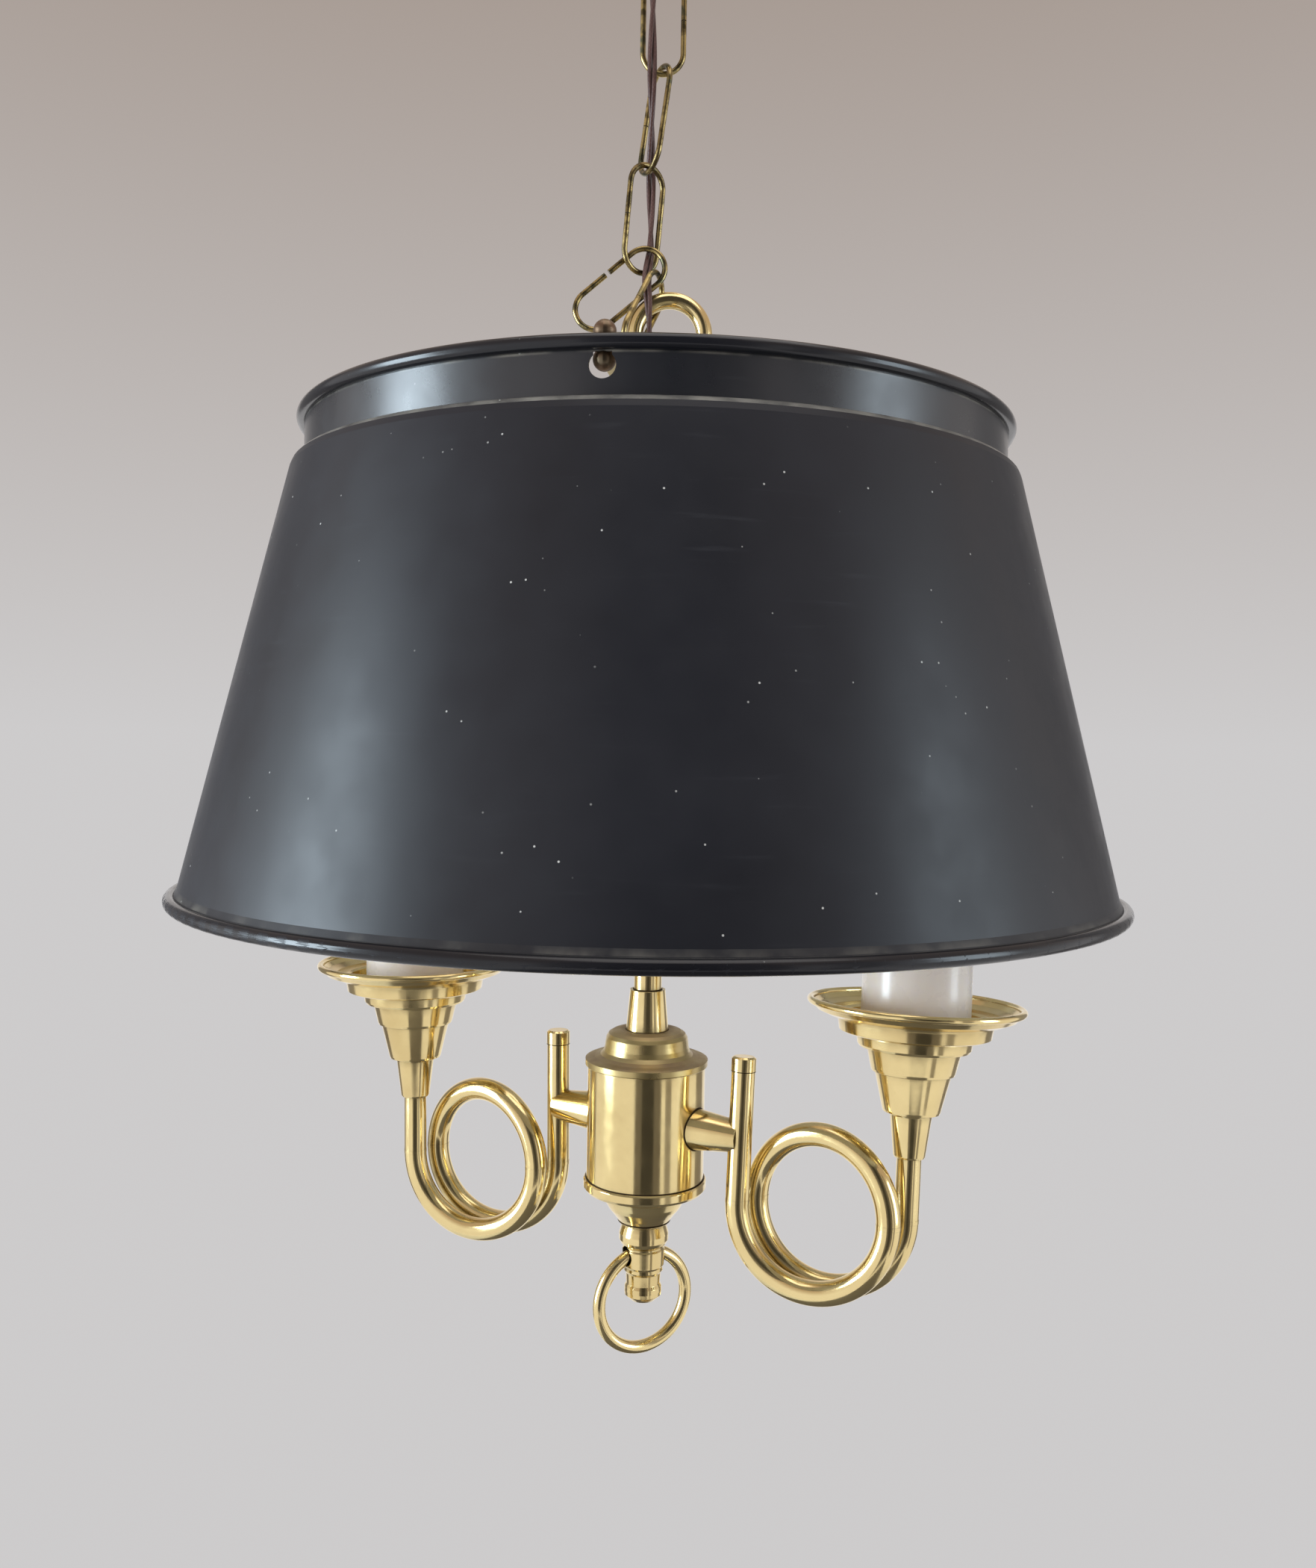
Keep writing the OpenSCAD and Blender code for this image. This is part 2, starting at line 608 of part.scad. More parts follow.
ceiling_strap();
ceiling_nipple();
nipple_nuts();
ceiling_cup();
cup_loop();
terminal_block();
terminal_screws();
flex_bush();
chain_link_1();
chain_link_2();
chain_link_3();
chain_link_4();
chain_link_5();
chain_link_6();
flex_upper();
flex_lower();
swivel_ring();
swivel_cup();
stem_bush();
stem_tube();
carrier();
carrier_nuts();
ball_studs();
shade_neck();
shade_cone();
stem_collar();
body_cap();
body_barrel();
splice_block();
body_base();
finial();
pull_ring();
nozzle_left();
nozzle_right();
nozzle_nuts();
horn_left();
horn_right();
horn_plugs();
ferrule_left();
ferrule_right();
cup_left();
cup_right();
cup_nipples();
pan_left();
pan_right();
sleeve_left();
sleeve_right();
holder_left();
holder_right();
shell_left();
shell_right();
contacts();
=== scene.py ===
# %% [markdown]
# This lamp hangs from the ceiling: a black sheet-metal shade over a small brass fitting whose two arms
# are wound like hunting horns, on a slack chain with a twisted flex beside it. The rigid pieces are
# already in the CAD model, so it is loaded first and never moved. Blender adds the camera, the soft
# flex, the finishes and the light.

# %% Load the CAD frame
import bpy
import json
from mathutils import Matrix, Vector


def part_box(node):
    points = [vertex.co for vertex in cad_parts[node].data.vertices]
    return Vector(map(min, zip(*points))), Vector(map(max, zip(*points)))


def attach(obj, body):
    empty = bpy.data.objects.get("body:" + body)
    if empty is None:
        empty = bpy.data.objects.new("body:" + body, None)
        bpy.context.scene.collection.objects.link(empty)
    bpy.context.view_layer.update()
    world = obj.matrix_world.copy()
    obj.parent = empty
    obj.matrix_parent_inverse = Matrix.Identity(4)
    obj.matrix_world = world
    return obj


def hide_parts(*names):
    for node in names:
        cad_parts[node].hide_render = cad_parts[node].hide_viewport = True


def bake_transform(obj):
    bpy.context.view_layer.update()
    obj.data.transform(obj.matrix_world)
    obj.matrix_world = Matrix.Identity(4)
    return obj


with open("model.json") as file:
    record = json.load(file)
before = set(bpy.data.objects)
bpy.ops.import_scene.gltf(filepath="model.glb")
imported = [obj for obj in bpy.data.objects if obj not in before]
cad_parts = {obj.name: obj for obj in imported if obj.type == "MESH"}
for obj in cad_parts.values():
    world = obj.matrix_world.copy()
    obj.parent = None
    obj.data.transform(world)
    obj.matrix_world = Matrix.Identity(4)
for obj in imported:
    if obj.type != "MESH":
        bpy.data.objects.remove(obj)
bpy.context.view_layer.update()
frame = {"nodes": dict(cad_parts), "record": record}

# %% [markdown]
# The picture was taken from in front of the lamp with a wide lens, a little above the shade's lower rim,
# and the lamp's two arms are turned thirty degrees to it. Places are easier to think about as right, away
# and up, as the picture shows them, so a small helper turns such a place into the lamp's own frame. The
# lens is set on the picture's height, which keeps the framing the same at any render size.

# %% Camera
import math
import bpy
from mathutils import Matrix, Vector

ARMS_TURN = math.radians(30)
RIGHT = Vector((math.cos(ARMS_TURN), math.sin(ARMS_TURN), 0))
AWAY = Vector((-math.sin(ARMS_TURN), math.cos(ARMS_TURN), 0))
UP = Vector((0, 0, 1))
CAMERA_BACK, CAMERA_DROP = 0.474, 0.3754
YAW, PITCH, ROLL = math.radians(0.30), math.radians(-2.02), math.radians(0.95)
SENSOR_HEIGHT, FOCAL_LENGTH = 36, 30.2


def seen_at(right, away, up):
    """A place given as the photograph shows it, in metres from the ceiling mount."""
    return RIGHT * right + AWAY * away + UP * up


lens = bpy.data.cameras.new("photo_camera")
lens.sensor_fit = "VERTICAL"
lens.sensor_height = SENSOR_HEIGHT
lens.lens = FOCAL_LENGTH
gaze = seen_at(math.sin(YAW) * math.cos(PITCH), math.cos(YAW) * math.cos(PITCH), math.sin(PITCH))
aim = gaze.to_track_quat("-Z", "Y").to_matrix() @ Matrix.Rotation(ROLL, 3, "Z")
camera = bpy.data.objects.new("photo_camera", lens)
camera.matrix_world = Matrix.Translation(seen_at(0, -CAMERA_BACK, -CAMERA_DROP)) @ aim.to_4x4()
bpy.context.scene.collection.objects.link(camera)
bpy.context.scene.camera = camera
print("camera at", tuple(round(c, 4) for c in camera.location), "with a lens of", FOCAL_LENGTH, "mm")

# %% [markdown]
# The flex is two cloth-covered wires twisted round each other. It leaves the ceiling cup through a bush,
# falls beside the chain and goes into the swivel on top of the stem. A curve with a bevel would give one
# smooth tube, and the twist is what makes it read as flex, so both wires are swept here by hand. The route
# is the CAD model's, a hair further back where it passes the middle links, and a smooth curve is passed
# through its points. They are millimetres right, away and up from the middle of the shade's upper rim.

# %% The flex's route
MM = 0.001
RIM_DROP, CUP_DROP, BUSH_DEPTH = 270.5, 42, 18
FLEX_WIDTH = 3.4 * MM
PATH_STEP = 0.5 * MM

cup_foot = RIM_DROP - CUP_DROP
flex_split = (-4.2, -3.6, 180)
upper_route = [(-15, -6, cup_foot + BUSH_DEPTH), (-15, -6, cup_foot), (-14.4, -5.9, 216),
    (-10.6, -5.2, 204), (-6.2, -4.2, 192), flex_split]
lower_route = [flex_split, (-3.9, -3.4, 168), (-3.8, -3.4, 150), (-3.75, -3.3, 130),
    (-3.65, -2.4, 120), (-3.6, 1.6, 107), (-3.7, 5.4, 99), (-3.55, 6.1, 95), (-3.45, 5.8, 88),
    (-3.3, 4.6, 80), (-3.4, 2.85, 69), (-3.65, 2.05, 66), (-4.3, -1.05, 60), (-4.4, -4.1, 54.5),
    (-3.85, -5.5, 49), (-3.3, -6.1, 40), (-3.1, -7, 29), (-2, -11.4, 21.6), (-0.8, -14.4, 16.6),
    (-0.2, -14.6, 12.4), (0, -13, 9.6), (0, -11, 8.4), (0, -9, 8.4), (0, -6, 8.4)]


def over_rim(right, away, up):
    """A place given in millimetres from the middle of the shade's upper rim."""
    return seen_at(right * MM, away * MM, (up - RIM_DROP) * MM)


def smooth_path(route):
    """A Catmull-Rom curve through a route, in even short steps."""
    knots = [over_rim(*point) for point in route]
    knots = [2 * knots[0] - knots[1], *knots, 2 * knots[-1] - knots[-2]]
    path = [knots[1]]
    for a, b, c, d in zip(knots, knots[1:], knots[2:], knots[3:]):
        parts = max(2, round((c - b).length / PATH_STEP))
        for i in range(1, parts + 1):
            t = i / parts
            path.append(((2 * b) + (c - a) * t + (2 * a - 5 * b + 4 * c - d) * t ** 2
                + (3 * b - a - 3 * c + d) * t ** 3) / 2)
    return path


def length_of(path):
    """The length of a path in metres."""
    return sum((b - a).length for a, b in zip(path, path[1:]))


upper_path, lower_path = smooth_path(upper_route), smooth_path(lower_route)
print("flex: upper", round(length_of(upper_path), 4), "m, lower", round(length_of(lower_path), 4), "m")

# %% [markdown]
# A round wire is a ring of points carried along a path. Blender's curves do this too, but here the rings
# are wanted as they are, to twist two wires together and to close a wire into a loop. Rings joined by faces,
# with a cap at each end or end to end, make a closed mesh.

# %% Rings into a mesh
WIRE_SIDES = 10


def circle(steps):
    """Evenly spaced angles, once round."""
    return [i * math.tau / steps for i in range(steps)]


def rings_to_mesh(name, tubes, endless=False):
    """One mesh from tubes that are lists of rings of points: capped at both ends, or joined end to end."""
    points, faces = [], []
    for rings in tubes:
        start, sides = len(points), len(rings[0])
        points += [point for ring in rings for point in ring]
        for i in range(len(rings) if endless else len(rings) - 1):
            low, high = start + i * sides, start + (i + 1) % len(rings) * sides
            for k in range(sides):
                n = (k + 1) % sides
                faces.append((low + k, low + n, high + n, high + k))
        if not endless:
            faces.append([start + k for k in reversed(range(sides))])
            faces.append([start + (len(rings) - 1) * sides + k for k in range(sides)])
    mesh = bpy.data.meshes.new(name)
    mesh.from_pydata(points, [], faces)
    mesh.shade_smooth()
    piece = bpy.data.objects.new(name, mesh)
    bpy.context.scene.collection.objects.link(piece)
    return piece


print("a wire's sides lie at", [round(math.degrees(angle)) for angle in circle(WIRE_SIDES)], "degrees")

# %% [markdown]
# The rings are carried along the flex without letting them spin, and the two wires circle its path half a
# turn apart. A loose twist looks like old lamp flex, so one full turn takes several centimetres.

# %% Twisted wires
TWIST_PITCH = 76 * MM


def level_frames(path):
    """For each point of a path, two directions across it that turn as little as they can."""
    frames, side = [], None
    for i in range(len(path)):
        along = (path[min(i + 1, len(path) - 1)] - path[max(i - 1, 0)]).normalized()
        side = side or along.orthogonal()
        side = (side - along * side.dot(along)).normalized()
        frames.append((side, along.cross(side)))
    return frames


def twisted_pair(name, path, start=0.0):
    """Two wires round a path, with the twist taken up where a length of start is already done."""
    frames, tubes, wire = level_frames(path), [], FLEX_WIDTH / 4
    for half in (0, math.pi):
        rings, done = [], start
        for i, (middle, (a, b)) in enumerate(zip(path, frames)):
            done += (middle - path[i - 1]).length if i else 0
            turn = half + done / TWIST_PITCH * math.tau
            centre = middle + (a * math.cos(turn) + b * math.sin(turn)) * wire
            rings.append([centre + (a * math.cos(s) + b * math.sin(s)) * wire for s in circle(WIRE_SIDES)])
        tubes.append(rings)
    return rings_to_mesh(name, tubes)


flex_top = twisted_pair("flex_from_cup", upper_path)
flex_bottom = twisted_pair("flex_to_stem", lower_path, length_of(upper_path))
print("flex wires:", len(flex_top.data.polygons) + len(flex_bottom.data.polygons), "faces")

# %% [markdown]
# When the chain swings, the flex bends with it. Each half is listed with its path, the CAD piece that it
# stands in for, the two bodies that it runs between and the heights where it would bend. The CAD flex pieces
# are hidden, and each half's place is baked into its mesh. The halves meet beside the first chain link.

# %% Hide the CAD flex and bake the wires
split_height = flex_split[2]
BEND_END = 148
for piece, path, node, above, below, bend_start, bend_end in (
        (flex_top, upper_path, "flex_upper", "ceiling", "link_1", cup_foot, split_height),
        (flex_bottom, lower_path, "flex_lower", "link_1", "lamp", split_height, BEND_END)):
    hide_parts(node)
    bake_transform(piece)
    print(piece.name, "bends from", above, "to", below)

# %% [markdown]
# Both rims of the shade are rolled round a wire, and a pull ring hangs from the finial. Round glossy wires
# show every flat of a coarse mesh, so these three are swept again in fine steps where the CAD has them.
# The rim wires lie over the CAD beads, a hair thicker, and keep the shade's outer size.

# %% Rim wires and pull ring
LOWER_BEAD, UPPER_BEAD, HAIR = 4.4 * MM, 4.3 * MM, 0.03 * MM
PULL_WIRE = 4.6 * MM
PULL_TURN = math.radians(58)
RIM_STEPS = 320


def wire_loop(name, path, middle, thickness, sides=24):
    """A round wire along a closed path round a middle point."""
    rings = []
    for i, point in enumerate(path):
        along = (path[(i + 1) % len(path)] - path[i - 1]).normalized()
        out = point - middle
        out = (out - along * out.dot(along)).normalized()
        over = out.cross(along)
        spokes = [out * math.cos(s) + over * math.sin(s) for s in circle(sides)]
        rings.append([point + spoke * thickness / 2 for spoke in spokes])
    return rings_to_mesh(name, [rings], endless=True)


def wire_ring(name, middle, axis, radius, thickness, steps=200, sides=24):
    """A round wire bent into a circle round an axis."""
    across = axis.orthogonal().normalized()
    other = axis.cross(across)
    path = [middle + (across * math.cos(a) + other * math.sin(a)) * radius for a in circle(steps)]
    return wire_loop(name, path, middle, thickness, sides)


cone_low, cone_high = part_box("shade_cone")
neck_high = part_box("shade_neck")[1]
lower_wire = wire_ring("lower_rim_wire", UP * (cone_low[2] + LOWER_BEAD / 2), UP,
    cone_high[0] - LOWER_BEAD / 2 - HAIR, LOWER_BEAD + 2 * HAIR, RIM_STEPS)
upper_wire = wire_ring("upper_rim_wire", UP * (neck_high[2] - UPPER_BEAD / 2), UP,
    neck_high[0] - UPPER_BEAD / 2 - HAIR, UPPER_BEAD + 2 * HAIR, RIM_STEPS)
pull_low, pull_high = (Vector(corner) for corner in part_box("pull_ring"))
pull_axis = Vector((-math.sin(PULL_TURN), math.cos(PULL_TURN), 0))
pull_ring = wire_ring("pull_ring_wire", (pull_low + pull_high) / 2, pull_axis,
    (pull_high.z - pull_low.z - PULL_WIRE) / 2, PULL_WIRE)
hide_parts("pull_ring")
for piece, body, slot in ((lower_wire, "lamp", "black_gloss"), (upper_wire, "lamp", "black_gloss"),
        (pull_ring, "pull", "polished_brass")):
    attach(piece, body)
print("rings:", lower_wire.name, upper_wire.name, pull_ring.name)

# %% [markdown]
# Where two brass pieces are pushed together, polish and dirt collect in the joint and leave a fine dark
# line. It shows under the caps of the two upright pipes, round both nozzles, at both ends of the barrel and
# of the collar, and over the finial. A texture would have to know where every joint is, so a thin dark ring
# half sunk into each joint draws it. The arms come first, where nothing is level. A pipe's ring leans with
# its arm, as the record's lampholder axes do. A nozzle meets the round of the barrel, so its ring is a loop
# that is bent over that round: each of its points lies on the nozzle and on the barrel at once.

# %% Joint lines of the arms
SEAM, WIDE_SEAM, SEAM_SIDES = 0.36 * MM, 0.70 * MM, 10
CAP_UP, PIPE_RADIUS, CAP_STEPS = 23.1 * MM, 4.2 * MM, 64
NOZZLE_RADIUS, NOZZLE_STEPS = 7.3 * MM, 96

barrel_low, barrel_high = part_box("body_barrel")
barrel_radius = barrel_high[0]
nozzle_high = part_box("nozzle_right")[1]
nozzle_height = (barrel_low[2] + barrel_high[2]) / 2
mounts = {mount["name"]: mount for mount in frame["record"]["mounts"]}
seams = []
for side, hand in ((-1, "left"), (1, "right")):
    lean = Vector(mounts["socket_" + hand]["axis"]).normalized()
    cap_joint = Vector((side * nozzle_high[0], 0, nozzle_height)) + lean * CAP_UP
    seams.append(wire_ring("cap_seam_" + hand, cap_joint, lean, PIPE_RADIUS, SEAM, CAP_STEPS, SEAM_SIDES))
    round_nozzle = []
    for angle in circle(NOZZLE_STEPS):
        y, z = NOZZLE_RADIUS * math.cos(angle), NOZZLE_RADIUS * math.sin(angle)
        x = side * math.sqrt(barrel_radius ** 2 - y ** 2)
        round_nozzle.append(Vector((x, y, nozzle_height + z)))
    nozzle_joint = Vector((side * barrel_radius, 0, nozzle_height))
    seams.append(wire_loop("nozzle_seam_" + hand, round_nozzle, nozzle_joint, WIDE_SEAM, SEAM_SIDES))
print("joint lines of the arms:", [seam.name for seam in seams])

# %% [markdown]
# The other joints lie level on the lamp's axis, so plain rings do for them. Their heights could be typed in,
# but reading them from the boxes of the CAD pieces keeps every line in its joint.

# %% Level joint lines
SEAM_STEPS = 128
FINIAL_OVERLAP = 0.1 * MM

collar_low, collar_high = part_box("stem_collar")
stem_high, finial_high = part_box("stem_tube")[1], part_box("finial")[1]
for name, height, radius, width in (
        ("barrel_seam_top", barrel_high[2], barrel_radius, SEAM),
        ("barrel_seam_foot", barrel_low[2], barrel_radius, WIDE_SEAM),
        ("collar_seam_top", collar_high[2], stem_high[0], WIDE_SEAM),
        ("collar_seam_foot", collar_low[2], collar_high[0], SEAM),
        ("finial_seam", finial_high[2], finial_high[0] + FINIAL_OVERLAP, WIDE_SEAM)):
    seams.append(wire_ring(name, UP * height, UP, radius, width, SEAM_STEPS, SEAM_SIDES))
for seam in seams:
    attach(seam, "lamp")
print("all joint lines:", [seam.name for seam in seams])

# %% [markdown]
# Every finish here is a Principled shader fed by a few textures, and the room is a few nodes too. Writing
# the same node calls again and again would hide the idea, so a small class has one short call for each
# kind of node.

# %% A helper for nodes
class Nodes:
    """A node tree in the making."""

    def __init__(self, tree):
        self.tree = tree

    def feed(self, node, socket, value):
        """Links a socket to an input, or types a plain value into it."""
        if isinstance(value, bpy.types.NodeSocket):
            self.tree.links.new(value, node.inputs[socket])
        else:
            node.inputs[socket].default_value = value

    def add(self, kind, inputs=None, **settings):
        """A new node with its settings made and its inputs fed."""
        node = self.tree.nodes.new("ShaderNode" + kind)
        for setting, value in settings.items():
            setattr(node, setting, value)
        for socket, value in (inputs or {}).items():
            self.feed(node, socket, value)
        return node

    def math(self, operation, *values):
        """One step of arithmetic, by the name of the operation."""
        return self.add("Math", dict(enumerate(values)), operation=operation).outputs[0]

    def times(self, a, b):
        return self.math("MULTIPLY", a, b)

    def plus(self, a, b):
        return self.math("ADD", a, b)

    def spread(self, source, low, high, at_low=0.0, at_high=1.0):
        """Stretches the part of a signal between low and high over a new range."""
        inputs = {0: source, 1: low, 2: high, 3: at_low, 4: at_high}
        return self.add("MapRange", inputs).outputs[0]

    def mix(self, amount, a, b):
        """Colour a where amount is 0 and colour b where it is 1."""
        a, b = ((*colour, 1) if isinstance(colour, tuple) else colour for colour in (a, b))
        return self.add("Mix", {0: amount, 6: a, 7: b}, data_type="RGBA").outputs[2]

    def split(self, vector):
        """The x, y and z of a vector."""
        return self.add("SeparateXYZ", {0: vector}).outputs

    def from_axis(self, x, y):
        """The distance of a place from the upright axis."""
        return self.math("SQRT", self.plus(self.math("POWER", x, 2), self.math("POWER", y, 2)))

    def looked_at(self):
        """1 where the camera looks, straight or by way of mirrors and glass, and 0 for other light."""
        rays = self.add("LightPath").outputs
        seen = self.math("MAXIMUM", rays["Is Camera Ray"], rays["Is Glossy Ray"])
        return self.math("MAXIMUM", seen, rays["Is Transmission Ray"])


print("calls for nodes:", [name for name in vars(Nodes) if not name.startswith("_")])

# %% [markdown]
# A finish is never even: it has clouds, flecks and worn places, and noise gives all of them. A pattern names
# the noise's scale and detail, and the two values between which a place turns from untouched to full.
# Textures read the object's own coordinates, in metres, so a scale of 500 gives marks about two millimetres
# apart.

# %% A helper for finishes
from collections import namedtuple

Pattern = namedtuple("Pattern", "scale detail low high")
CORNER_SHADE = (0.45, 0.95)
CORNER_RAYS, EDGE_RAYS = 6, 4


class Finish(Nodes):
    """One material in the making, with its shader and the coordinates that its textures read."""

    def __init__(self, name, **sockets):
        self.material = bpy.data.materials.new(name)
        self.material.use_nodes = True
        super().__init__(self.material.node_tree)
        self.shader = self.tree.nodes["Principled BSDF"]
        where = self.add("TexCoord")
        self.place, self.normal = where.outputs["Object"], where.outputs["Normal"]
        for socket, value in sockets.items():
            self.give(socket.replace("_", " "), value)

    def give(self, socket, value):
        """Feeds one of the shader's inputs."""
        self.feed(self.shader, socket, value)

    def noise(self, scale, detail, place=None):
        inputs = {"Vector": place or self.place, "Scale": scale, "Detail": detail}
        return self.add("TexNoise", inputs).outputs[0]

    def patches(self, pattern, at_low=0.0, at_high=1.0, place=None):
        """A pattern of noise, with the values that untouched and full places get."""
        noise = self.noise(pattern.scale, pattern.detail, place)
        return self.spread(noise, pattern.low, pattern.high, at_low, at_high)

    def corners(self, reach):
        """1 in a corner that is closed within reach, 0 in the open: the mask for painted corner shade."""
        shade = self.add("AmbientOcclusion", {"Distance": reach}, samples=CORNER_RAYS).outputs["AO"]
        return self.spread(shade, *CORNER_SHADE, 1.0, 0.0)

    def relief(self, height, strength, depth, soften=0.0, normal=None):
        """Bumps from a height, over a given normal or over edges that are rounded off by soften."""
        inputs = {"Height": height, "Strength": strength, "Distance": depth}
        if soften:
            normal = self.add("Bevel", {"Radius": soften}, samples=EDGE_RAYS).outputs[0]
        if normal:
            inputs["Normal"] = normal
        self.give("Normal", self.add("Bump", inputs).outputs[0])


print("calls for finishes:", [name for name in vars(Finish) if not name.startswith("_")])

# %% [markdown]
# Lacquered brass is nearly a mirror, so most of its colour is what it reflects. A plain yellow metal would
# do for that and look new. What makes it look used is the rest: clouds of darker lacquer, a brown and green
# crust on the oldest pieces, painted shade with some dirt that darkens the corners, a film of dust on what
# faces up, and polish that varies from place to place. One recipe with different amounts serves all of the
# brass.

# %% A recipe for brass
SHADE_AND_DIRT_BROWN, DUST_GREY = (0.055, 0.032, 0.012), (0.31, 0.23, 0.165)
CRUST_BROWN, CRUST_GREEN = (0.085, 0.062, 0.030), (0.110, 0.125, 0.082)
CLOUDS = Pattern(scale=48, detail=6, low=0.38, high=0.68)
FLECKS = Pattern(scale=520, detail=3, low=0.60, high=0.74)
CRUST = Pattern(scale=260, detail=6, low=0.46, high=0.60)
GREEN_SPOTS = Pattern(scale=60, detail=3, low=0.45, high=0.62)
SMEARS = Pattern(scale=160, detail=4, low=0.3, high=0.6)
DUSTING = Pattern(scale=90, detail=4, low=0.3, high=0.7)
POLISHING = Pattern(scale=140, detail=5, low=0.32, high=0.70)
CORNER_REACH, ROUNDED_EDGE, SCRATCH_DEPTH = 4 * MM, 0.3 * MM, 0.1 * MM
SCRATCH_SCALE, SCRATCH_STRENGTH = 500, 0.02
FLECK_SHARE, CLEAN_SHARE, THIN_SHARE = 0.3, 0.3, 0.35
FACING_UP = (0.45, 0.95)
DUST_DULLS, DIRT_DULLS = 0.45, 0.25


def brass(name, bright, brown, clouds, polish, shade_and_dirt, dust, patina=0.0, edges=ROUNDED_EDGE):
    """Brass between two colours, with amounts of clouds, painted corner shade and dirt, dust and crust, and a
    range of roughness.
    """
    finish = Finish(name, Metallic=1.0)
    cloud = finish.patches(CLOUDS, 0.0, clouds)
    fleck = finish.patches(FLECKS, 0.0, FLECK_SHARE * clouds)
    colour = finish.mix(finish.math("MAXIMUM", cloud, fleck), bright, brown)
    if patina:
        green = finish.mix(finish.patches(GREEN_SPOTS), CRUST_BROWN, CRUST_GREEN)
        colour = finish.mix(finish.patches(CRUST, 0.0, patina), colour, green)
    # Painted shade with some dirt: corners that are closed in darken towards a deep brown, more in some
    # smears than in others.
    painted_corner_shade = finish.times(finish.corners(CORNER_REACH), finish.patches(SMEARS, CLEAN_SHARE * shade_and_dirt, shade_and_dirt))
    colour = finish.mix(painted_corner_shade, colour, SHADE_AND_DIRT_BROWN)
    facing_up = finish.spread(finish.split(finish.normal)[2], *FACING_UP)
    film = finish.times(facing_up, finish.patches(DUSTING, THIN_SHARE * dust, dust))
    finish.give("Base Color", finish.mix(film, colour, DUST_GREY))
    rough = finish.plus(finish.patches(POLISHING, *polish), finish.times(film, DUST_DULLS))
    finish.give("Roughness", finish.plus(rough, finish.times(painted_corner_shade, DIRT_DULLS)))
    finish.relief(finish.noise(SCRATCH_SCALE, detail=3), SCRATCH_STRENGTH, SCRATCH_DEPTH, soften=edges)
    return finish.material


print("brass recipe, with edges rounded by", ROUNDED_EDGE, "m")

# %% [markdown]
# The turned pieces are bright, and their edges are rounded a little, as polishing does. The bent tubes have
# no edges to round. The chain and the ball studs were never lacquered and have gone brown and green, the cap
# of the body holds the dust of years, and the lines in the joints are nothing but dirt.

# %% Six kinds of brass
BRIGHT, BROWN = (0.87, 0.705, 0.355), (0.60, 0.44, 0.19)
polished_brass = brass("polished_brass", BRIGHT, BROWN,
    clouds=0.5, polish=(0.09, 0.18), shade_and_dirt=0.75, dust=0.12)
brass_tube = brass("brass_tube", BRIGHT, BROWN,
    clouds=0.3, polish=(0.10, 0.20), shade_and_dirt=0.75, dust=0.12, edges=0)
chain_brass = brass("aged_chain_brass", (0.50, 0.38, 0.16), (0.27, 0.20, 0.09),
    clouds=0.9, polish=(0.22, 0.38), shade_and_dirt=0.8, dust=0.2, patina=0.9, edges=0)
dull_brass = brass("tarnished_brass", (0.25, 0.165, 0.11), (0.12, 0.08, 0.056),
    clouds=0.9, polish=(0.30, 0.46), shade_and_dirt=0.8, dust=0.2, patina=0.4)
dusty_brass = brass("dusty_brass", (0.57, 0.45, 0.21), (0.42, 0.32, 0.14),
    clouds=0.5, polish=(0.24, 0.34), shade_and_dirt=0.8, dust=0.9)
seam_dirt = brass("seam_dirt", (0.06, 0.04, 0.02), (0.03, 0.02, 0.01),
    clouds=0.8, polish=(0.5, 0.7), shade_and_dirt=0.8, dust=0.1)
pull_ring.data.materials.append(brass_tube)
for seam in seams:
    seam.data.materials.append(seam_dirt)
print("brass:", [kind.name for kind in (polished_brass, brass_tube, chain_brass, dull_brass, dusty_brass,
    seam_dirt)])

# %% [markdown]
# The shade is sheet metal rolled into a cone, and a round wall never faces sideways. The CAD mesh has one
# line where it does, by two degrees, and glossy paint shows that as a crease. Smoothing the mesh would mean
# changing it, so the paint works out the true normal instead: the part that points away from the axis, and
# the part that points up. The first of the two also tells the inside from the outside.

# %% The shade's round
def round_wall(paint):
    """How far a point of a round wall faces outward and up, and its true normal."""
    x, y = paint.split(paint.place)[:2]
    nx, ny, nz = paint.split(paint.normal)
    radius = paint.from_axis(x, y)
    out_x, out_y = paint.math("DIVIDE", x, radius), paint.math("DIVIDE", y, radius)
    outward = paint.plus(paint.times(nx, out_x), paint.times(ny, out_y))
    parts = {0: paint.times(outward, out_x), 1: paint.times(outward, out_y), 2: nz}
    joined = paint.add("CombineXYZ", parts).outputs[0]
    true_normal = paint.add("VectorTransform", {0: joined}, vector_type="NORMAL",
        convert_from="OBJECT", convert_to="WORLD").outputs[0]
    return outward, nz, true_normal


print("shade from", round(cone_low[2], 4), "to", round(neck_high[2], 4), "m, radius", round(cone_high[0], 4))

# %% [markdown]
# Years of dusting leave fine scuffs that run round the shade, so their noise is read by angle and height,
# which stretches it round the cone. A few pale specks are bare metal or paint. Dust lies where a cloth
# misses it: above the lower rim, in the line under the neck's bead, and on the ledge where neck and cone
# meet. Each kind is a mask from 0 to 1, and the paint is mixed towards its colour by that much.

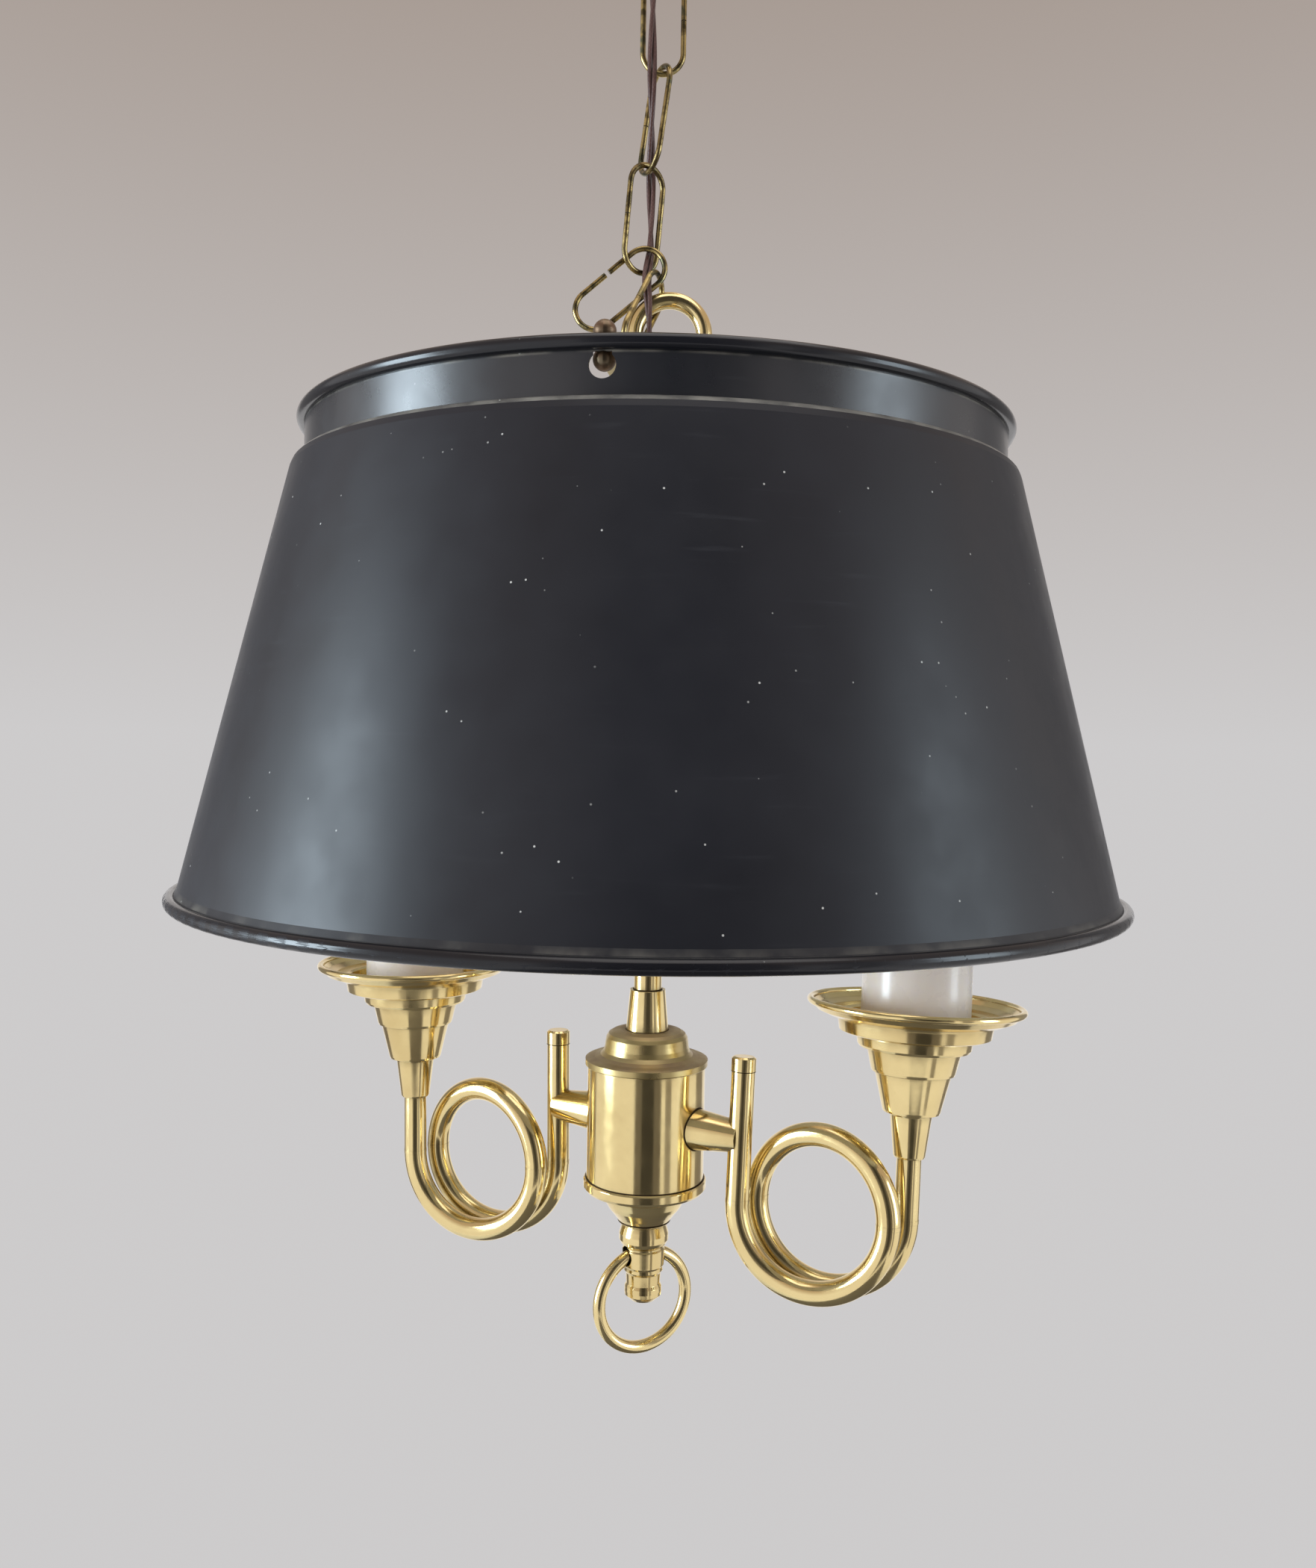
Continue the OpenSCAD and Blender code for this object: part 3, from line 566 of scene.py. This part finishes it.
# %% Wear of the shade
SCUFFS = Pattern(scale=1, detail=5, low=0.60, high=0.82)
SCUFFED_AREAS = Pattern(scale=14, detail=4, low=0.42, high=0.62)
SPECKED_AREAS = Pattern(scale=70, detail=2, low=0.50, high=0.60)
RIM_DUST = Pattern(scale=60, detail=5, low=0.45, high=0.75)
BEAD_DUST = Pattern(scale=70, detail=5, low=0.40, high=0.70)
LEDGE_DUST = Pattern(scale=120, detail=5, low=0.30, high=0.70)
SCUFFS_ROUND, SCUFFS_UP, SPECK_SCALE = 5, 420, 190
SCUFF_AMOUNT, RIM_DUST_AMOUNT, BEAD_DUST_AMOUNT = 0.25, 0.35, 0.5
LEDGE_DUST_AMOUNTS, LEDGE_SLOPE = (0.15, 0.65), (0.45, 0.75)
SPECK_EDGE = (0.035, 0.070)
RIM_HEIGHT = 4.6 * MM
DUST_RISE, BEAD_LINE = 0.40 * RIM_HEIGHT, 0.12 * RIM_HEIGHT
RIM_LAP, BEAD_LAP = 0.04 * RIM_HEIGHT, 0.06 * RIM_HEIGHT

rim_top = cone_low[2] + RIM_HEIGHT
bead_foot = neck_high[2] - RIM_HEIGHT


def scuffs(paint):
    """Fine marks that run round the shade, in some areas only."""
    x, y, z = paint.split(paint.place)
    angle = paint.times(paint.math("ARCTAN2", y, x), SCUFFS_ROUND)
    around = paint.add("CombineXYZ", {0: angle, 1: paint.times(z, SCUFFS_UP)}).outputs[0]
    return paint.times(paint.patches(SCUFFS, 0.0, SCUFF_AMOUNT, around), paint.patches(SCUFFED_AREAS))


def specks(paint, amount):
    """Small pale dots, in some areas only."""
    dots = paint.add("TexVoronoi", {"Vector": paint.place, "Scale": SPECK_SCALE}).outputs["Distance"]
    return paint.times(paint.spread(dots, *SPECK_EDGE, amount, 0.0), paint.patches(SPECKED_AREAS))


def dust_masks(paint, z, facing_up):
    """Dust above the lower rim, under the neck's bead and on the ledge."""
    on_cone = paint.math("GREATER_THAN", z, rim_top - RIM_LAP)
    above_rim = paint.spread(z, rim_top, rim_top + DUST_RISE, 1.0, 0.0)
    rim = paint.times(paint.times(above_rim, paint.patches(RIM_DUST, 0.0, RIM_DUST_AMOUNT)), on_cone)
    bead_line = paint.spread(z, bead_foot - BEAD_LINE, bead_foot)
    bead_line = paint.times(bead_line, paint.math("LESS_THAN", z, bead_foot + BEAD_LAP))
    bead = paint.times(bead_line, paint.patches(BEAD_DUST, 0.0, BEAD_DUST_AMOUNT))
    below_bead = paint.math("LESS_THAN", z, bead_foot)
    ledge = paint.times(paint.spread(facing_up, *LEDGE_SLOPE), below_bead)
    ledge = paint.times(paint.times(ledge, paint.patches(LEDGE_DUST, *LEDGE_DUST_AMOUNTS)), on_cone)
    return rim, bead, ledge


print("dust lies from", round(rim_top, 4), "up to", round(rim_top + DUST_RISE, 4), "m")

# %% [markdown]
# The shade was sprayed satin blue-black outside and white inside. The cone is the dullest, the neck is
# smoother, and the rolled rims were polished by hands, so they get the same paint with more gloss. Each
# piece has one material for both of its sides, so the inside is chosen by the normal, which points to the
# axis there.

# %% Shade paint
WHITE_INSIDE = (0.78, 0.77, 0.73)
SCUFF_GREY, SPECK_PALE = (0.040, 0.042, 0.050), (0.55, 0.54, 0.51)
RIM_DUST_TAN, LEDGE_DUST_GREY = (0.30, 0.27, 0.22), (0.34, 0.32, 0.28)
PAINT_CLOUDS = Pattern(scale=16, detail=5, low=0.3, high=0.7)
GLOSS_AREAS = Pattern(scale=60, detail=5, low=0.3, high=0.7)
FACES_IN, SCUFF_DULLS, INSIDE_DULLS = -0.15, 0.25, 0.2
PEEL_SCALE, PEEL_STRENGTH, PEEL_DEPTH = 420, 0.04, 0.2 * MM


def shade_paint(name, dark, pale, gloss, speckled, shine):
    """Paint between two near blacks, with a range of roughness and amounts of specks and shine."""
    paint = Finish(name, Specular_IOR_Level=shine)
    z = paint.split(paint.place)[2]
    outward, facing_up, true_normal = round_wall(paint)
    scuffed = scuffs(paint)
    rim, bead, ledge = dust_masks(paint, z, facing_up)
    colour = paint.mix(paint.patches(PAINT_CLOUDS), dark, pale)
    for mask, wear in ((scuffed, SCUFF_GREY), (specks(paint, speckled), SPECK_PALE),
            (rim, RIM_DUST_TAN), (bead, RIM_DUST_TAN), (ledge, LEDGE_DUST_GREY)):
        colour = paint.mix(mask, colour, wear)
    inside = paint.math("LESS_THAN", outward, FACES_IN)
    inside = paint.times(inside, paint.math("GREATER_THAN", z, rim_top))
    inside = paint.times(inside, paint.math("LESS_THAN", z, bead_foot))
    paint.give("Base Color", paint.mix(inside, colour, WHITE_INSIDE))
    rough = paint.plus(paint.patches(GLOSS_AREAS, *gloss), paint.times(scuffed, SCUFF_DULLS))
    paint.give("Roughness", paint.plus(rough, paint.times(inside, INSIDE_DULLS)))
    paint.relief(paint.noise(PEEL_SCALE, detail=4), PEEL_STRENGTH, PEEL_DEPTH, normal=true_normal)
    return paint.material


satin_black = shade_paint("satin_blue_black", (0.0070, 0.0073, 0.0105), (0.0115, 0.0120, 0.0165),
    gloss=(0.36, 0.45), speckled=0.9, shine=0.38)
neck_black = shade_paint("neck_blue_black", (0.0070, 0.0073, 0.0100), (0.0110, 0.0115, 0.0150),
    gloss=(0.25, 0.35), speckled=0.6, shine=0.75)
gloss_black = shade_paint("gloss_black", (0.006, 0.006, 0.008), (0.009, 0.009, 0.012),
    gloss=(0.16, 0.24), speckled=0.5, shine=0.42)
for wire in (lower_wire, upper_wire):
    wire.data.materials.append(gloss_black)
print("shade paints:", satin_black.name, neck_black.name, gloss_black.name)

# %% [markdown]
# The candle sleeves are moulded ivory plastic: a little light sinks in, so their shadow side stays warm,
# which a plain white surface can't give. The lampholders inside them and the flex's bushes are black
# phenolic, the terminal blocks plain white, and the ceiling strap zinc. All are smooth with a faint grain,
# so one recipe makes them.

# %% Sleeves, holders and strap
TINTS = Pattern(scale=35, detail=5, low=0.3, high=0.7)
SHEEN_AREAS = Pattern(scale=120, detail=4, low=0.3, high=0.7)
MOULD_CORNER, MOULD_EDGE, GRAIN_DEPTH = 3 * MM, 0.4 * MM, 0.2 * MM
# How strongly corners darken as painted shade, and how deep that shade goes.
PAINTED_SHADE_AMOUNT, PAINTED_SHADE_DEPTH, GRAIN_STRENGTH = 0.3, 0.55, 0.015


def moulding(name, pale, deep, gloss, grain, **sockets):
    """A smooth piece between two tints, with a range of roughness and a scale of grain."""
    finish = Finish(name, **sockets)
    # Painted shade: corners that are closed in darken towards a deeper copy of the tint.
    painted_corner_shade = finish.times(finish.corners(MOULD_CORNER), PAINTED_SHADE_AMOUNT)
    painted_shade_colour = tuple(part * PAINTED_SHADE_DEPTH for part in deep)
    colour = finish.mix(finish.patches(TINTS), pale, deep)
    finish.give("Base Color", finish.mix(painted_corner_shade, colour, painted_shade_colour))
    finish.give("Roughness", finish.patches(SHEEN_AREAS, *gloss))
    finish.relief(finish.noise(grain, detail=3), GRAIN_STRENGTH, GRAIN_DEPTH, soften=MOULD_EDGE)
    return finish.material


ivory = moulding("ivory_sleeve", (0.90, 0.77, 0.68), (0.87, 0.73, 0.635), gloss=(0.22, 0.32), grain=300,
    Subsurface_Weight=0.25, Subsurface_Radius=(0.006, 0.004, 0.002), Subsurface_Scale=1.0, Coat_Weight=0.15)
phenolic = moulding("black_phenolic", (0.020, 0.019, 0.019), (0.034, 0.032, 0.030),
    gloss=(0.32, 0.48), grain=800)
white_block = moulding("white_block", (0.78, 0.77, 0.72), (0.70, 0.68, 0.62), gloss=(0.42, 0.55), grain=500)
zinc = moulding("zinc_plate", (0.60, 0.61, 0.63), (0.42, 0.43, 0.46),
    gloss=(0.28, 0.44), grain=260, Metallic=1.0)
print("mouldings:", ivory.name, phenolic.name, white_block.name, zinc.name)

# %% [markdown]
# The flex's braid is a fine cloth. Modelling its threads would take thousands of faces that nobody sees, so
# two sets of slanting bands crossed over each other give the plait. A noise gives the faded patches, the
# groove between the wires is darkened, and a little sheen gives the soft edge that cloth has.

# %% Cloth
THREAD, FADED_THREAD, THREAD_SHADOW = (0.072, 0.031, 0.025), (0.115, 0.056, 0.047), (0.022, 0.010, 0.009)
FADED_AREAS = Pattern(scale=150, detail=4, low=0.35, high=0.7)
PLAIT_SCALE, PLAIT_WAVER, PLAIT_STRENGTH, PLAIT_DEPTH = 420, 1.5, 0.25, 0.1 * MM
PLAIT_SHADOW, SHADOW_END, GROOVE_REACH = 0.4, 0.5, 2 * MM
THREAD_ROUGHNESS = (0.36, 0.50)

cloth = Finish("flex_cloth", Sheen_Weight=0.04, Sheen_Roughness=0.5, Specular_IOR_Level=0.40)
slants = []
for mirror in (1, -1):
    leaning = cloth.add("Mapping", {"Vector": cloth.place, "Scale": (mirror, mirror, 1)}).outputs[0]
    bands = {"Vector": leaning, "Scale": PLAIT_SCALE, "Distortion": PLAIT_WAVER}
    slants.append(cloth.add("TexWave", bands, bands_direction="DIAGONAL").outputs["Fac"])
plait = cloth.times(*slants)
faded = cloth.patches(FADED_AREAS)
between = cloth.spread(plait, 0.0, SHADOW_END, PLAIT_SHADOW, 0.0)
shadow = cloth.math("MAXIMUM", between, cloth.corners(GROOVE_REACH))
thread = cloth.mix(faded, THREAD, FADED_THREAD)
cloth.give("Base Color", cloth.mix(shadow, thread, THREAD_SHADOW))
cloth.give("Roughness", cloth.spread(faded, 0.0, 1.0, *THREAD_ROUGHNESS))
cloth.relief(plait, PLAIT_STRENGTH, PLAIT_DEPTH)
for piece in (flex_top, flex_bottom):
    piece.data.materials.append(cloth.material)
print("cloth on", flex_top.name, "and", flex_bottom.name)

# %% [markdown]
# Each CAD piece now gets its finish. About half of them are plain polished brass. Typing that again for each
# would hide the others, so only the others are listed, and what the list doesn't name is polished brass.

# %% Dress the CAD pieces
LINKS = 6
dressed = {
    chain_brass: [f"chain_link_{i + 1}" for i in range(LINKS)],
    dull_brass: ["ball_studs"],
    brass_tube: ["cup_loop", "swivel_ring", "carrier", "horn_left", "horn_right"],
    dusty_brass: ["body_cap", "ceiling_cup"],
    zinc: ["ceiling_strap"],
    satin_black: ["shade_cone"],
    neck_black: ["shade_neck"],
    ivory: ["sleeve_left", "sleeve_right"],
    phenolic: ["flex_bush", "stem_bush", "holder_left", "holder_right"],
    white_block: ["terminal_block", "splice_block"],
}
finish_of = {node: material for material, nodes in dressed.items() for node in nodes}
for name, node in frame["nodes"].items():
    for place in node.material_slots:
        place.material = finish_of.get(name, polished_brass)
print(len(frame["nodes"]), "CAD pieces dressed,", len(finish_of), "of them not in plain polished brass")

# %% [markdown]
# A pale room is all the studio this lamp needs. Built walls would throw their own shadows, so the world
# stands for them. It gives an even soft light, and the camera, mirrors and glass see it as the wall of the
# photograph, pale at the lamp's height and browner above. Mirrors see it half as bright again, to stand for
# lighter walls at the sides.

# %% Room
WALL, WALL_TOP = (0.612, 0.600, 0.602), (0.36, 0.295, 0.255)
TOP_AT = 0.55
FILL, MIRROR_GAIN = 0.58, 0.50

room = bpy.data.worlds.new("pale_room")
room.use_nodes = True
bpy.context.scene.world = room
bpy.context.scene.view_settings.view_transform = "Standard"
walls = Nodes(room.node_tree)
height = walls.split(walls.add("TexCoord").outputs["Generated"])[2]
mirrored = walls.add("LightPath").outputs["Is Glossy Ray"]
wall = room.node_tree.nodes["Background"]
walls.feed(wall, "Color", walls.mix(walls.spread(height, 0.0, TOP_AT), WALL, WALL_TOP))
walls.feed(wall, "Strength", walls.math("MULTIPLY_ADD", mirrored, MIRROR_GAIN, 1))
fill = walls.add("Background", {"Color": (*WALL, 1), "Strength": FILL})
seen_or_fill = {0: walls.looked_at(), 1: fill.outputs[0], 2: wall.outputs[0]}
walls.feed(room.node_tree.nodes["World Output"], "Surface", walls.add("MixShader", seen_or_fill).outputs[0])
print("room:", room.name, "with", len(room.node_tree.nodes), "nodes")

# %% [markdown]
# A disc far below is the floor. A plain one would be darker than the wall and show its edge, so it glows a
# little for the camera, still takes a shadow, and fades out towards its rim.

# %% Floor
FLOOR_DROP, FLOOR_RADIUS, FLOOR_STEPS = 1.35, 0.95, 96
FLOOR_GLOW, FLOOR_ROUGHNESS = 0.10, 0.9
FADE_FROM = 0.4 * FLOOR_RADIUS

floor_rim = [(FLOOR_RADIUS * math.cos(a), FLOOR_RADIUS * math.sin(a), -FLOOR_DROP)
    for a in circle(FLOOR_STEPS)]
floor_mesh = bpy.data.meshes.new("floor")
floor_mesh.from_pydata(floor_rim, [], [list(range(FLOOR_STEPS))])
floor = bpy.data.objects.new("floor", floor_mesh)
bpy.context.scene.collection.objects.link(floor)
floor_paint = Finish("floor_paint", Base_Color=(*WALL, 1), Emission_Color=(*WALL, 1),
    Roughness=FLOOR_ROUGHNESS)
floor_x, floor_y = floor_paint.split(floor_paint.place)[:2]
from_middle = floor_paint.from_axis(floor_x, floor_y)
floor_paint.give("Alpha", floor_paint.spread(from_middle, FADE_FROM, FLOOR_RADIUS, 1.0, 0.0))
floor_paint.give("Emission Strength", floor_paint.times(floor_paint.looked_at(), FLOOR_GLOW))
floor.data.materials.append(floor_paint.material)
print("floor", FLOOR_DROP, "m under the ceiling")

# %% [markdown]
# Polished brass needs something to reflect. The photograph's brass shows a window on the left and a weaker
# one on the right, both in cool daylight. Two large area lamps stand for them and one hangs above. A soft one
# in front fills the shadows without being mirrored, because a lamp there would show in every round piece.

# %% Windows
MIDDLE = Vector((0, 0, -0.42))
DAYLIGHT, PLAIN_WHITE = (0.74, 0.89, 1.0), (1, 1, 1)


def window(name, place, size, watts, colour=PLAIN_WHITE):
    """An area lamp that faces the middle of the lamp."""
    light = bpy.data.lights.new(name, "AREA")
    light.shape = "RECTANGLE"
    light.size, light.size_y = size
    light.energy = watts
    light.color = colour
    stand = bpy.data.objects.new(name, light)
    turn = (MIDDLE - place).to_track_quat("-Z", "Y").to_matrix().to_4x4()
    stand.matrix_world = Matrix.Translation(place) @ turn
    bpy.context.scene.collection.objects.link(stand)
    stand.visible_camera = False
    return stand


window("window_left", seen_at(-1.45, -0.36, -0.36), size=(0.50, 1.0), watts=25, colour=DAYLIGHT)
window("window_right", seen_at(1.41, -0.51, -0.30), size=(0.45, 1.0), watts=8, colour=DAYLIGHT)
window("skylight", seen_at(0.1, -0.2, 0.85), size=(1.1, 1.1), watts=5)
front_fill = window("front_fill", seen_at(-0.3, -1.6, 0.2), size=(1.5, 1.5), watts=15)
front_fill.visible_glossy = False
print("lights:", [light.name for light in bpy.data.lights])

# %% [markdown]
# Between the windows, the brass mirrors the dark of the room behind the camera, and that dark stripe is what
# makes it look like metal. Boards stand for it, and for what is dark beside and under the lamp. Only mirrors
# can see them, so they take no light away.

# %% Dark screens
LEVEL_SLOPE = 0.8
WARM = (1.0, 0.9, 0.85)


def screen(name, place, size, shade):
    """A dark board that only mirrors see: upright beside the lamp, and level under it."""
    level = abs((MIDDLE - place).normalized().z) > LEVEL_SLOPE
    width, tall = size
    across = (RIGHT if level else (MIDDLE - place).cross(UP).normalized()) * width / 2
    along = (AWAY if level else UP) * tall / 2
    low_edge, high_edge = place - along, place + along
    corners = [low_edge - across, low_edge + across, high_edge + across, high_edge - across]
    mesh = bpy.data.meshes.new(name)
    mesh.from_pydata(corners, [], [(0, 1, 2, 3)])
    board = bpy.data.objects.new(name, mesh)
    bpy.context.scene.collection.objects.link(board)
    board_colour = (*(shade * part for part in WARM), 1)
    mesh.materials.append(Finish(name, Base_Color=board_colour, Roughness=1.0).material)
    for sight in ("camera", "diffuse", "shadow", "transmission"):
        setattr(board, "visible_" + sight, False)
    return board.name


screens = [
    screen("dim_room", seen_at(0.15, -2.0, 0.4), size=(1.9, 4.0), shade=0.30),
    screen("dark_doorway", seen_at(0.12, -1.8, 0.3), size=(0.75, 3.6), shade=0.07),
    screen("dim_corner", seen_at(1.15, -1.2, -0.4), size=(0.36, 2.4), shade=0.46),
    screen("dark_shelf", seen_at(-1.4, 1.1, -0.5), size=(0.9, 2.4), shade=0.38),
    screen("dark_door", seen_at(1.4, 1.1, -0.5), size=(0.9, 2.4), shade=0.38),
    screen("dark_table", seen_at(0.1, -0.3, -1.25), size=(0.8, 1.6), shade=0.14),
]
print("screens:", screens)

# %% Last cell
import json
